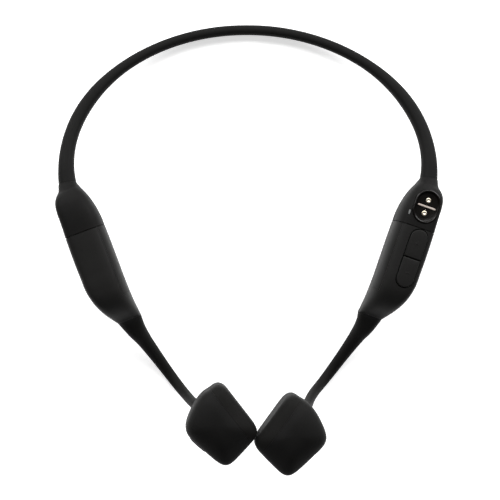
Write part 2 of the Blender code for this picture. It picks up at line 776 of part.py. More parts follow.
def build_volume_buttons(shell):
    seat = POD @ Matrix.Translation((PILL_L, PILL_S, 0.0))
    low, high = BUTTON_Z
    edge = 0.35
    half_gap = PILL_SPLIT_GAP / 2
    halves = (
        ("volume_up", half_gap, None, VOLUME_UP_S),
        ("volume_down", None, -half_gap, VOLUME_DOWN_S),
    )
    for name, start, end, switch_s in halves:
        outlines = []
        for inset, z in ((0.0, low), (0.0, high - edge), (edge, high)):
            cut_start = None if start is None else start + inset
            cut_end = None if end is None else end - inset
            outlines.append(
                pill_outline(PILL_HALF_W - inset, PILL_HALF_LENGTH - inset, z, cut_start, cut_end)
            )
        origin = pod_point(PILL_L, switch_s, low)
        solid(f"{name}_button", prism(outlines, seat), "soft_plastic", RIGHT, origin)
        matrix = aligned(pod_point(PILL_L, switch_s, SWITCH_Z), POD_ACROSS, POD_ALONG, UP)
        solid(f"{name}_switch", box(SWITCH_SIZE, matrix), "steel", bevel=0.2)
    hole = [pill_outline(PILL_HALF_W + PILL_GAP, PILL_HALF_LENGTH + PILL_GAP, z) for z in (22.0, 30.0)]
    combine(shell, cutter("cut_volume_window", prism(hole, seat)))


def build_charging_port(cap):
    port = port_matrix()
    rim_in = PORT_HALF_W - PORT_RIM
    rim_long = PORT_HALF_LENGTH - PORT_RIM
    outlines = [
        pill_outline(PORT_HALF_W, PORT_HALF_LENGTH, -PORT_THICKNESS),
        pill_outline(PORT_HALF_W, PORT_HALF_LENGTH, 0.0),
    ]
    insert = solid("charging_port_insert", prism(outlines, port), "gloss_black", bevel=0.15)
    draft = 0.25
    recess = [
        pill_outline(rim_in - draft, rim_long - draft, -PORT_FLOOR),
        pill_outline(rim_in + draft, rim_long + draft, PORT_FLOOR),
    ]
    combine(insert, cutter("cut_port_recess", prism(recess, port)))
    pocket = [
        pill_outline(PORT_HALF_W + PORT_GAP, PORT_HALF_LENGTH + PORT_GAP, z)
        for z in (-PORT_THICKNESS - 0.5, 6.0)
    ]
    combine(cap, cutter("cut_port_pocket", prism(pocket, port)))
    for number, offset in ((1, PIN_PITCH / 2), (2, -PIN_PITCH / 2)):
        seat = port @ Matrix.Translation((0.0, offset, 0.0))
        hole = cylinder(PIN_RADIUS + PIN_GAP, -6.0, 2.0, seat, 16)
        combine(insert, cutter(f"cut_contact_{number}", hole))
        top = -PORT_FLOOR - 0.05
        pin = cylinder(PIN_RADIUS, top - PIN_LENGTH, top, seat, 16)
        solid(f"charging_contact_{number}", pin, "gold", bevel=0.1)
        magnet_seat = port @ Matrix.Translation((offset * 1.0, 0.0, 0.0))
        magnet = cylinder(
            PORT_MAGNET_RADIUS, -PORT_THICKNESS - 2.1, -PORT_THICKNESS - 0.3, magnet_seat, 16
        )
        solid(f"charging_magnet_{number}", magnet, "nickel", bevel=0.12)
    lamp = POD @ Matrix.Translation((LED_L, LED_S, 0.0))
    combine(cap, cutter("cut_status_light", cylinder(LED_RADIUS + 0.15, 20.0, 28.0, lamp, 12)))
    solid("status_light_lens", cylinder(LED_RADIUS, 22.6, 25.0, lamp, 12), "lens")


def build_right_fittings(shell, cap, housing):
    build_volume_buttons(shell)
    build_charging_port(cap)
    board = box((8.4, 18.4, 0.8), aligned(pod_point(0.5, -4.2, 21.7), POD_ACROSS, POD_ALONG, UP))
    solid("main_board", board, "board_green", bevel=0.15)
    can = box((6.8, 8.0, 1.8), aligned(pod_point(0.5, -3.5, 20.2), POD_ACROSS, POD_ALONG, UP))
    solid("wireless_module_shield", can, "nickel", bevel=0.25)
    antenna = box((1.6, 7.0, 0.8), aligned(pod_point(-2.6, -7.5, 22.7), POD_ACROSS, POD_ALONG, UP))
    solid("antenna", antenna, "ceramic", bevel=0.12)
    face = outer_face_matrix(6.0)
    hole = cylinder(1.15, 4.0, 12.0, face, 16)
    combine(housing, cutter("cut_microphone", hole))
    solid("microphone_mesh", cylinder(0.95, 8.7, 9.2, face, 16), "steel")
    capsule = box((3.2, 3.2, 1.2), face @ Matrix.Translation((0.0, 0.0, 7.0)))
    solid("microphone_capsule", capsule, "nickel", bevel=0.15)


# ---------------------------------------------------------------- assembly

for existing in list(bpy.data.objects):
    bpy.data.objects.remove(existing, do_unlink=True)
parts = new_collection("bone_conduction_headphones")
cutters = new_collection("cutters")

build_neckband()
caps, shells, housings = {}, {}, {}
for hand in (RIGHT, LEFT):
    caps[hand] = build_cap(hand)
    shells[hand] = build_pod(hand)
    housings[hand] = build_transducer(hand, build_hook(hand))
build_left_fittings(housings[LEFT])
build_right_fittings(shells[RIGHT], caps[RIGHT], housings[RIGHT])
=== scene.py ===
"""Bone conduction headphones: fine surfaces, materials, floor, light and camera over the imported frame.

Dimensions are millimetres in the frame's own axes and are scaled to metres when a mesh is made.
"""
import json
import math

import bmesh
import bpy
import numpy as np
from mathutils import Matrix, Vector
from mathutils.kdtree import KDTree


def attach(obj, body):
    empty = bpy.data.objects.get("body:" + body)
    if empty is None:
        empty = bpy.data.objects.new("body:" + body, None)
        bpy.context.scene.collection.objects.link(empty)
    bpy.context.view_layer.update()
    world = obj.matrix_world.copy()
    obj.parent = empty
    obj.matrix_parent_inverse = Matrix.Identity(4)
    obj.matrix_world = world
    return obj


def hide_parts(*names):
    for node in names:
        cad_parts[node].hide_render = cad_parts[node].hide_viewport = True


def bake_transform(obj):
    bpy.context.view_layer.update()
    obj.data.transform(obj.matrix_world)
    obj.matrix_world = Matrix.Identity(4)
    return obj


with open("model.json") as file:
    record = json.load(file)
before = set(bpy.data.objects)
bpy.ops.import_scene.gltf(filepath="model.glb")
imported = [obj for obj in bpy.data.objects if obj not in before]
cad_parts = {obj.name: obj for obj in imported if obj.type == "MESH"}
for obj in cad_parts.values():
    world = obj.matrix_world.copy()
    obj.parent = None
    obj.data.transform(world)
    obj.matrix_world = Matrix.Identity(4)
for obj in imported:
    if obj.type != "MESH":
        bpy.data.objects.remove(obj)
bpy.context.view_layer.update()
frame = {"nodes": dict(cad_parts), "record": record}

MM = 0.001
RIGHT, LEFT = 1, -1
SIDE_NAMES = {RIGHT: "right", LEFT: "left"}
UP = np.array((0.0, 0.0, 1.0))
SHARP_ANGLE = math.radians(40.0)

# Rest shape, as in the frame: hook asymmetry and the shift that centres the footprint
SETTLE_SHIFT = 1.9
SETTLE_FRONT_Y = -38.0
SETTLE_Z = (5.0, 22.0)
BASE_SHIFT = np.array((0.0, -2.5, -0.05))

# Neckband
BAND_CENTER_Y = 29.0
BAND_SEMI_X = 62.5
BAND_SEMI_Y = 48.2
BAND_END_ANGLE = 96.7
BAND_WIDTHS = ((0.0, 3.5), (40.0, 3.75), (62.0, 4.75), (80.0, 5.05), (90.0, 5.5), (97.0, 6.1))
BAND_HEIGHTS = ((0.0, 1.96), (30.0, 3.7), (60.0, 8.3), (80.0, 12.7), (90.0, 14.9), (97.0, 15.9))
BAND_TALLER = 1.1
BAND_ROUNDING = 2.3
BAND_POINTS = 48
BAND_RINGS = 150
PARTING_LINE = 0.035
PARTING_WIDTH = 0.09
FLEX_ANGLES = (9.0, 30.0)
BAND_END_LIP = 0.25

# Pods
POD_ORIGIN = np.array((53.2, -1.5, 0.0))
POD_TURN = math.radians(-20.0)
POD_ACROSS = np.array((math.cos(POD_TURN), math.sin(POD_TURN), 0.0))
POD_ALONG = np.array((-math.sin(POD_TURN), math.cos(POD_TURN), 0.0))
POD_MID_Z = 17.0
POD_POINTS = 128
SEAM_S = 9.0
# each row: s, outer edge, inner edge, underside z, top z, rounding, chamfer
CAP_ROWS = (
    (9.15, 6.85, -6.95, 8.5, 25.5, 7.0, 0.83),
    (12.0, 6.7, -6.9, 8.5, 25.5, 7.0, 0.83),
    (15.0, 6.6, -6.6, 8.7, 25.4, 7.0, 0.83),
    (18.0, 6.55, -6.0, 9.2, 25.1, 7.0, 0.83),
    (20.5, 6.25, -5.3, 10.0, 24.6, 6.0, 0.9),
    (22.3, 5.6, -4.6, 10.9, 23.8, 4.8, 0.98),
    (23.6, 4.7, -4.0, 11.7, 22.5, 4.0, 1.05),
    (24.8, 3.7, -3.6, 12.4, 20.8, 3.3, 1.1),
)
POD_ROWS = (
    (8.85, 6.85, -6.95, 8.5, 25.5, 7.0, 0.83),
    (2.0, 7.0, -7.0, 8.5, 25.5, 7.0, 0.83),
    (-5.0, 6.95, -6.95, 8.4, 25.5, 7.0, 0.82),
    (-11.0, 6.75, -6.9, 8.0, 25.4, 7.0, 0.78),
    (-14.0, 6.15, -6.93, 7.65, 24.95, 6.8, 0.77),
    (-16.4, 5.4, -7.0, 7.27, 24.05, 6.4, 0.77),
    (-18.5, 4.5, -7.08, 6.93, 22.75, 5.8, 0.79),
    (-20.5, 3.45, -7.24, 6.6, 20.85, 5.1, 0.85),
    (-22.6, 2.15, -7.43, 6.33, 18.0, 4.5, 0.98),
    (-24.5, 0.9, -7.6, 6.2, 14.85, 4.2, 1.1),
)
LIP = 0.28
LIP_DEPTH_SHARE = 0.2
POD_RING_STEP = 0.45
NECK_OVERHANG = 0.3
NECK_GROW = 0.16
NECK_LIP = 0.2
COVER_EDGE_L = -4.7
COVER_NOSE_S = -15.5
COVER_GAP = 0.05

# Ear hooks
# each row: spine point, half width
HOOK_SPINES = {
    RIGHT: (
        ((41.55, -23.95, 10.55), 4.25),
        ((40.0, -26.9, 8.7), 3.45),
        ((37.6, -30.6, 6.5), 2.75),
        ((34.85, -34.6, 4.5), 2.35),
        ((31.8, -38.9, 2.9), 2.08),
        ((28.4, -43.5, 1.95), 1.9),
        ((25.3, -47.1, 3.2), 1.78),
        ((22.5, -49.6, 7.2), 1.72),
        ((20.3, -50.9, 13.0), 1.7),
        ((18.9, -51.6, 19.0), 1.7),
        ((18.0, -52.2, 24.6), 1.7),
        ((17.4, -53.1, 29.4), 1.7),
    ),
    LEFT: (
        ((41.55, -23.95, 10.55), 4.25),
        ((39.5, -26.95, 8.7), 3.4),
        ((36.85, -30.8, 6.5), 2.7),
        ((34.05, -34.8, 4.5), 2.35),
        ((31.05, -39.1, 2.9), 2.1),
        ((27.85, -43.65, 1.98), 1.93),
        ((25.0, -47.4, 3.2), 1.84),
        ((22.6, -50.2, 7.2), 1.77),
        ((20.75, -52.7, 13.0), 1.75),
        ((19.4, -54.6, 19.0), 1.73),
        ((18.2, -55.8, 24.6), 1.73),
        ((17.3, -56.4, 29.4), 1.72),
    ),
}
HOOK_ROOT_L, HOOK_ROOT_Z = -3.35, 10.55
HOOK_ROUNDINGS = (4.2, 2.6, 2.1)
HOOK_RING_STEP = 0.4
HOOK_POINTS = 48
HOOK_MEET_GAP = 0.02
SHADE_REACH = 3.2
SHADE_RIM = 0.1
ROOT_REACH = 9.0
END_FACE_SLOPE = 0.93

# Transducers
TRANS_CENTER = np.array((12.75, -58.95, 36.0))
TRANS_U = np.array((0.602, 0.798, 0.0)) / math.hypot(0.602, 0.798)
TRANS_D = np.array((0.798, -0.602, 0.0)) / math.hypot(0.602, 0.798)
TRANS_PLANES = (
    ((0.0, -1.0), 9.8),
    ((0.995, -0.0995), 11.6),
    ((0.852, 0.5236), 9.8),
    ((-0.186, 0.9825), 9.6),
    ((-0.9896, -0.1453), 12.6),
)
TRANS_HALF_H = 11.5
TRANS_ROUNDING = 6.4
TRANS_DOME = 4.6
TRANS_SEAM = -5.2
TRANS_FACE = -9.55
TRANS_GRID = 56
SEAM_HALF_GAP = 0.024
CROWN_DROP = 3.0
CROWN_POWER = 2.0
CROWN_LEAN = 0.5
CROWN_REACH = 12.0
VALLEY_DEPTH = 0.34
VALLEY_WIDTH = 1.9
VALLEY_LEAST = 0.25
VALLEY_FADE = (-3.0, 7.0)
VALLEY_MIDDLE = 6.0
OUTER_FACE_NORMAL = (-0.186, 0.9825)

# Buttons
PILL_L, PILL_S = 2.03, -1.7
PILL_HALF_W = 3.0
PILL_HALF_LENGTH = 10.2
PILL_SPLIT_GAP = 0.3
PILL_GAP = 0.22
PILL_DRIFT = 0.06
PILL_HOLE_FLARE = ((23.0, 0.0), (25.22, 0.0), (25.36, 0.05), (25.56, 0.2), (30.0, 0.2))
BUTTON_LOW, BUTTON_TOP = 23.9, 25.75
MULTI_HALF_W = 3.5
MULTI_HALF_LENGTH = 5.5
MULTI_LOW, MULTI_TOP = 7.9, 9.95
MULTI_DOME = 0.15
MULTI_HOLE_FLOOR = 8.6
MIC_HEIGHT = 6.0
MIC_HOLE_RADIUS = 1.05
MIC_HOLE_FLOOR = 8.9
HOLE_TOP = 14.0
MARK_LENGTH, MARK_WIDTH, MARK_HEIGHT = 1.9, 0.34, 0.07
MARK_SINK = 0.02
MARK_OFFSET = 5.2

# Charging port
PORT_L, PORT_S, PORT_TOP_Z = 1.1, 16.7, 25.35
PORT_TILT = math.radians(5.0)
PORT_HALF_W = 4.4
PORT_HALF_LENGTH = 5.8
PORT_RIM = 0.65
PORT_FLOOR = 1.0
PORT_THICKNESS = 2.7
PORT_GAP = 0.12
PIN_RADIUS = 0.9
PIN_PITCH = 4.6
PIN_GAP = 0.1
PIN_LENGTH = 3.3
PIN_SINK = 0.02
RIDGE_RADII = (1.35, 1.75)
RIDGE_OUTLINE = ((-0.09, -0.05), (-0.05, 0.09), (0.05, 0.09), (0.09, -0.05))
BAR_HALF_W, BAR_HALF_LENGTH = 0.32, 3.2
LED_L, LED_S = -3.85, 13.1
LED_HALF_W, LED_HALF_LENGTH = 0.26, 0.8
LED_LOW, LED_TOP = 23.4, 24.9
LED_HOLE_LOW, LED_HOLE_TOP = 23.5, 28.0

# Camera: where it stands, what it looks at, its turn about the view axis and its field
CAMERA_PLACE = Vector((-0.0292, -0.0022, 0.6))
CAMERA_TARGET = Vector((-0.0001, -0.0026, 0.018))
CAMERA_ROLL = 0.014
CAMERA_LENS = 122.6
SENSOR = 36.0

# Studio, in metres: each light's name, place, size and power
LIGHTS = (
    ("back_left", (-0.65, 0.8, 0.65), (0.7, 0.5), 11.0),
    ("back_right", (0.75, 0.75, 0.6), (0.7, 0.5), 12.0),
    ("overhead", (0.0, 0.95, 1.2), (1.0, 0.5), 10.5),
)
WORLD_LIGHT = 0.1
FLOOR_GLOW = 0.62
FLOOR_HALF = 3.0
FLOOR_SINK = 0.0002


# ---------------------------------------------------------------- placing

def settled(points, side):
    """Right-side points moved to their own side, as the frame has them."""
    points = np.array(points, float).reshape(-1, 3)
    low, high = SETTLE_Z
    t = np.clip((points[:, 2] - low) / (high - low), 0.0, 1.0)
    t = np.where(points[:, 1] < SETTLE_FRONT_Y, t, 0.0)
    placed = points.copy()
    placed[:, 0] *= side
    placed[:, 1] -= side * SETTLE_SHIFT * t * t * (3 - 2 * t)
    return placed + BASE_SHIFT


def make_object(name, points, faces, side, material):
    mesh = bpy.data.meshes.new(name)
    mesh.from_pydata((settled(points, side) * MM).tolist(), [], [list(f) for f in faces])
    bm = bmesh.new()
    bm.from_mesh(mesh)
    bmesh.ops.recalc_face_normals(bm, faces=bm.faces)
    if bm.calc_volume(signed=True) < 0:
        bmesh.ops.reverse_faces(bm, faces=bm.faces)
    bm.to_mesh(mesh)
    bm.free()
    mesh.shade_smooth()
    mesh.set_sharp_from_angle(angle=SHARP_ANGLE)
    obj = bpy.data.objects.new(name, mesh)
    bpy.context.scene.collection.objects.link(obj)
    if material is not None:
        mesh.materials.append(material)
    return obj


def boolean(obj, tool, operation="DIFFERENCE"):
    """Apply one exact Boolean and drop its tool."""
    modifier = obj.modifiers.new("cut", "BOOLEAN")
    modifier.operation = operation
    modifier.solver = "EXACT"
    modifier.object = tool
    bpy.context.view_layer.update()
    evaluated = obj.evaluated_get(bpy.context.evaluated_depsgraph_get())
    mesh = bpy.data.meshes.new_from_object(evaluated)
    obj.modifiers.clear()
    old = obj.data
    obj.data = mesh
    bpy.data.meshes.remove(old)
    mesh.name = obj.name
    mesh.shade_smooth()
    mesh.set_sharp_from_angle(angle=SHARP_ANGLE)
    tool_mesh = tool.data
    bpy.data.objects.remove(tool)
    bpy.data.meshes.remove(tool_mesh)


def join(name, objects):
    """One object from several, keeping their materials."""
    bm = bmesh.new()
    materials = []
    for obj in objects:
        offset = len(materials)
        materials += list(obj.data.materials)
        before = len(bm.faces)
        bm.from_mesh(obj.data)
        bm.faces.ensure_lookup_table()
        for face in bm.faces[before:]:
            face.material_index += offset
    mesh = bpy.data.meshes.new(name)
    bm.to_mesh(mesh)
    bm.free()
    for material in materials:
        mesh.materials.append(material)
    mesh.set_sharp_from_angle(angle=SHARP_ANGLE)
    for obj in objects:
        old = obj.data
        bpy.data.objects.remove(obj)
        bpy.data.meshes.remove(old)
    result = bpy.data.objects.new(name, mesh)
    bpy.context.scene.collection.objects.link(result)
    return result


# ---------------------------------------------------------------- shapes

def smooth_value(x, table):
    """Value at x on a smooth curve through the table's rows."""
    rows = list(table)
    index = max(k for k in range(len(rows) - 1) if k == 0 or rows[k][0] <= x)
    (x0, v0), (x1, v1) = rows[index], rows[index + 1]

    def slope(k):
        a, b = rows[max(k - 1, 0)], rows[min(k + 1, len(rows) - 1)]
        return (b[1] - a[1]) / (b[0] - a[0])

    span = x1 - x0
    t = (x - x0) / span
    blend = t * t * (3 - 2 * t)
    start = t * (1 - t) ** 2 * span * slope(index)
    end = -t * t * (1 - t) * span * slope(index + 1)
    return v0 + (v1 - v0) * blend + start + end


def unit(vector):
    return vector / np.linalg.norm(vector)


def cross_axes(tangent):
    across = unit(np.cross(UP, tangent))
    return across, unit(np.cross(tangent, across))


def section(half_w, half_h, rounding, count, chamfer=0.0):
    """Outline of a box rounded by a power norm, as across and up distances."""
    planes = [((1, 0), half_w), ((-1, 0), half_w), ((0, 1), half_h), ((0, -1), half_h)]
    if chamfer:
        planes.append(((-0.8, 0.6), chamfer * (0.8 * half_w + 0.6 * half_h)))
    angle = 2 * np.pi * (np.arange(count) + 0.5) / count
    x, z = half_w * np.cos(angle), half_h * np.sin(angle)
    total = sum(np.maximum(0.0, (n[0] * x + n[1] * z) / c) ** rounding for n, c in planes)
    reach = total ** (-1.0 / rounding)
    return np.stack([x * reach, z * reach], axis=1)


def ring(centre, across, up, outline):
    return centre + outline[:, :1] * across + outline[:, 1:] * up


def refine(keys, step):
    """Rings on smooth curves through the key rings, about step apart."""
    keys = np.array(keys)
    gaps = np.linalg.norm(np.diff(keys, axis=0), axis=2).mean(axis=1)
    slopes = np.empty_like(keys)
    secants = np.diff(keys, axis=0) / gaps[:, None, None]
    slopes[0], slopes[-1] = secants[0], secants[-1]
    for k in range(1, len(keys) - 1):
        a, b = gaps[k - 1], gaps[k]
        slopes[k] = (secants[k - 1] * b + secants[k] * a) / (a + b)
    rings = []
    for k, gap in enumerate(gaps):
        count = max(1, round(gap / step))
        for t in np.arange(count) / count:
            rings.append(
                keys[k] * (1 + 2 * t) * (1 - t) ** 2 + keys[k + 1] * t * t * (3 - 2 * t)
                + slopes[k] * gap * t * (1 - t) ** 2 - slopes[k + 1] * gap * t * t * (1 - t)
            )
    rings.append(keys[-1])
    return rings


def skin(rings, closed_ends=True):
    """Points and faces of a skin over equal-count rings."""
    count = len(rings[0])
    points = np.concatenate(rings)
    faces = []
    for r in range(len(rings) - 1):
        for k in range(count):
            n = (k + 1) % count
            faces.append((r * count + k, r * count + n, (r + 1) * count + n, (r + 1) * count + k))
    if closed_ends:
        faces.append(tuple(range(count))[::-1])
        last = (len(rings) - 1) * count
        faces.append(tuple(last + k for k in range(count)))
    return points, faces


def lip_rings(edge, inward, radius, steps=4):
    """Rings that roll an edge over by a small radius; edge is the last full ring, inward its direction."""
    centre = edge.mean(axis=0)
    spread = edge - centre
    size = np.linalg.norm(spread, axis=1, keepdims=True)
    rings = []
    for k in range(1, steps + 1):
        turn = math.pi / 2 * k / steps
        pull = radius * (1 - math.cos(turn))
        rings.append(centre + spread * (1 - pull / size) + inward * radius * math.sin(turn))
    return rings


def stadium(half_w, half_length, z, start=None, end=None, arc=24):
    """Pill outline long in y; start or end cuts it square, with the corners kept."""
    straight = half_length - half_w
    points = []
    if end is None:
        for k in range(arc + 1):
            turn = math.pi * k / arc
            points.append((half_w * math.cos(turn), straight + half_w * math.sin(turn), z))
    else:
        for k in range(arc + 1):
            points.append((half_w - 2 * half_w * k / arc, end, z))
    if start is None:
        for k in range(arc + 1):
            turn = math.pi + math.pi * k / arc
            points.append((half_w * math.cos(turn), half_w * math.sin(turn) - straight, z))
    else:
        for k in range(arc + 1):
            points.append((2 * half_w * k / arc - half_w, start, z))
    return np.array(points)


def circle(radius, z, count=48):
    turn = 2 * np.pi * np.arange(count) / count
    return np.stack([radius * np.cos(turn), radius * np.sin(turn), np.full(count, z)], axis=1)


def to_frame(matrix, points):
    return points @ np.array(matrix.to_3x3()).T + np.array(matrix.translation)


def aligned(centre, across, along, up):
    matrix = Matrix((Vector(across), Vector(along), Vector(up))).transposed().to_4x4()
    matrix.translation = Vector(centre)
    return matrix


def prism(name, outlines, matrix, side, material):
    points, faces = skin([to_frame(matrix, outline) for outline in outlines])
    return make_object(name, points, faces, side, material)


def block(name, size, matrix, side):
    x, y, z = (extent / 2 for extent in size)
    low = np.array([(-x, -y, -z), (x, -y, -z), (x, y, -z), (-x, y, -z)])
    high = low + np.array((0.0, 0.0, 2 * z))
    return prism(name, [low, high], matrix, side, None)


def pod_point(across, along, z):
    return POD_ORIGIN + POD_ACROSS * across + POD_ALONG * along + UP * z


def pod_matrix(across, along, z):
    return aligned(pod_point(across, along, z), POD_ACROSS, POD_ALONG, UP)


def pod_ring(row):
    s, outer, inner, low, high, rounding, chamfer = row
    outline = section((outer - inner) / 2, (high - low) / 2, rounding, POD_POINTS, chamfer)
    return ring(pod_point((outer + inner) / 2, s, (low + high) / 2), POD_ACROSS, UP, outline)


def band_point(angle):
    turn = math.radians(angle)
    return np.array((
        BAND_SEMI_X * math.sin(turn),
        BAND_CENTER_Y + BAND_SEMI_Y * math.cos(turn),
        smooth_value(abs(angle), BAND_HEIGHTS),
    ))


def band_ring(angle, grow, count, ridge=0.0):
    tangent = unit(band_point(angle + 0.5) - band_point(angle - 0.5))
    across, up = cross_axes(tangent)
    half_w = smooth_value(abs(angle), BAND_WIDTHS) / 2 + grow
    outline = section(half_w, half_w * BAND_TALLER, BAND_ROUNDING, count)
    if ridge:
        level = np.abs(outline[:, 1]) / half_w
        raised = np.exp(-(level[:, None] / PARTING_WIDTH) ** 2)
        outline = outline + np.sign(outline[:, :1]) * np.array((ridge, 0.0)) * raised
    return ring(band_point(angle), across, up, outline)


# ---------------------------------------------------------------- materials

MOTTLE_SCALE = 55.0
WEAR_SCALE = 210.0
SCRATCH_DEPTH = 0.01


def new_material(name):
    material = bpy.data.materials.new(name)
    material.use_nodes = True
    nodes = material.node_tree.nodes
    return material, nodes, material.node_tree.links, nodes["Principled BSDF"]


def noise(nodes, links, coordinates, scale, detail=3.0, roughness=0.5):
    texture = nodes.new("ShaderNodeTexNoise")
    texture.inputs["Scale"].default_value = scale
    texture.inputs["Detail"].default_value = detail
    texture.inputs["Roughness"].default_value = roughness
    links.new(coordinates.outputs["Object"], texture.inputs["Vector"])
    return texture


def moulded(name, dark, light, rough, grain, grain_depth, specular, sheen=0.0, coat=0.0):
    """Moulded rubber or plastic: fine grain, soft mottling and uneven roughness."""
    material, nodes, links, shader = new_material(name)
    coordinates = nodes.new("ShaderNodeTexCoord")
    mottle = noise(nodes, links, coordinates, MOTTLE_SCALE, 4.0, 0.55)
    ramp = nodes.new("ShaderNodeValToRGB")
    ramp.color_ramp.elements[0].position = 0.32
    ramp.color_ramp.elements[1].position = 0.7
    ramp.color_ramp.elements[0].color = (*dark, 1.0)
    ramp.color_ramp.elements[1].color = (*light, 1.0)
    links.new(mottle.outputs["Fac"], ramp.inputs["Fac"])
    links.new(ramp.outputs["Color"], shader.inputs["Base Color"])
    wear = noise(nodes, links, coordinates, WEAR_SCALE, 5.0, 0.6)
    spread = nodes.new("ShaderNodeMapRange")
    spread.inputs["To Min"].default_value = rough[0]
    spread.inputs["To Max"].default_value = rough[1]
    links.new(wear.outputs["Fac"], spread.inputs["Value"])
    links.new(spread.outputs["Result"], shader.inputs["Roughness"])
    fine = noise(nodes, links, coordinates, grain, 2.0, 0.5)
    bump = nodes.new("ShaderNodeBump")
    bump.inputs["Strength"].default_value = 0.6
    bump.inputs["Distance"].default_value = grain_depth * MM
    links.new(fine.outputs["Fac"], bump.inputs["Height"])
    links.new(bump.outputs["Normal"], shader.inputs["Normal"])
    shader.inputs["Specular IOR Level"].default_value = specular
    shader.inputs["Sheen Weight"].default_value = sheen
    shader.inputs["Sheen Roughness"].default_value = 0.45
    shader.inputs["Coat Weight"].default_value = coat
    shader.inputs["Coat Roughness"].default_value = 0.05
    return material


def metal(name, dark, light, rough, scale, brushed=(1.0, 1.0, 1.0)):
    """Metal with fine scratches and slight tarnish."""
    material, nodes, links, shader = new_material(name)
    coordinates = nodes.new("ShaderNodeTexCoord")
    tarnish = noise(nodes, links, coordinates, scale * 0.2, 4.0, 0.6)
    ramp = nodes.new("ShaderNodeValToRGB")
    ramp.color_ramp.elements[0].position = 0.3
    ramp.color_ramp.elements[1].position = 0.65
    ramp.color_ramp.elements[0].color = (*dark, 1.0)
    ramp.color_ramp.elements[1].color = (*light, 1.0)
    links.new(tarnish.outputs["Fac"], ramp.inputs["Fac"])
    links.new(ramp.outputs["Color"], shader.inputs["Base Color"])
    shader.inputs["Metallic"].default_value = 1.0
    stretch = nodes.new("ShaderNodeMapping")
    stretch.inputs["Scale"].default_value = brushed
    links.new(coordinates.outputs["Object"], stretch.inputs["Vector"])
    scratches = nodes.new("ShaderNodeTexNoise")
    scratches.inputs["Scale"].default_value = scale
    scratches.inputs["Detail"].default_value = 4.0
    links.new(stretch.outputs["Vector"], scratches.inputs["Vector"])
    spread = nodes.new("ShaderNodeMapRange")
    spread.inputs["To Min"].default_value = rough[0]
    spread.inputs["To Max"].default_value = rough[1]
    links.new(scratches.outputs["Fac"], spread.inputs["Value"])
    links.new(spread.outputs["Result"], shader.inputs["Roughness"])
    bump = nodes.new("ShaderNodeBump")
    bump.inputs["Strength"].default_value = 0.25
    bump.inputs["Distance"].default_value = SCRATCH_DEPTH * MM
    links.new(scratches.outputs["Fac"], bump.inputs["Height"])
    links.new(bump.outputs["Normal"], shader.inputs["Normal"])
    return material


